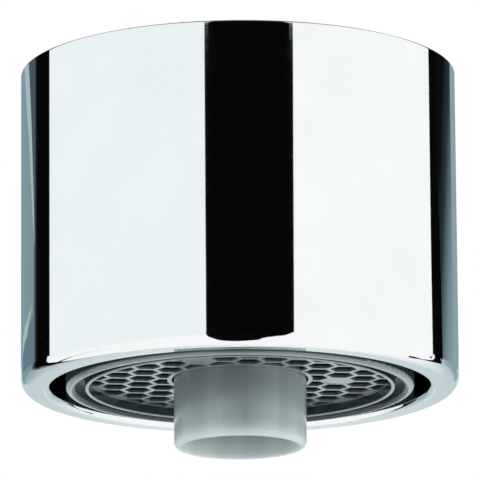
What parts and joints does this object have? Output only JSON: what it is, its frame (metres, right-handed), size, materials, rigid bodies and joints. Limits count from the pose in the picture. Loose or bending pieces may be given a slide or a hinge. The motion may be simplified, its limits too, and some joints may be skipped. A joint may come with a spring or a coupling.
{
  "type": "tap aerator",
  "caption": "Two-way tap aerator: chromed sleeve with an internal spout thread, a honeycomb jet ring and a separate centre outlet tube.",
  "frame": {"origin": "centre of the sealing plane, where the end of the spout meets the washer, at the inner end of the thread", "axes": "+Z along the axis, out of the threaded mouth towards the spout; the water leaves towards -Z; the picture is taken from -Y and a little below, with +X to the right"},
  "size_m": [0.0244, 0.0244, 0.0214],
  "materials": {
    "chromed_brass": "polished chrome plate on turned brass",
    "casing_plastic": "moulded acetal, mid grey, satin",
    "insert_plastic": "moulded acetal, dark grey, satin",
    "tube_plastic": "moulded plastic, light grey, semi-gloss, slightly translucent",
    "strainer_plastic": "moulded acetal, off-white, satin",
    "seal_rubber": "black rubber, matt"
  },
  "bodies": {
    "root": {"housing": "chromed_brass", "sealing_washer": "seal_rubber", "insert_casing": "casing_plastic", "jet_plate": "insert_plastic", "strainer": "strainer_plastic", "mixing_grid_upper": "insert_plastic", "mixing_grid_lower": "insert_plastic", "honeycomb_straightener": "insert_plastic", "outlet_tube": "tube_plastic", "tube_seal": "seal_rubber"}
  },
  "joints": []
}
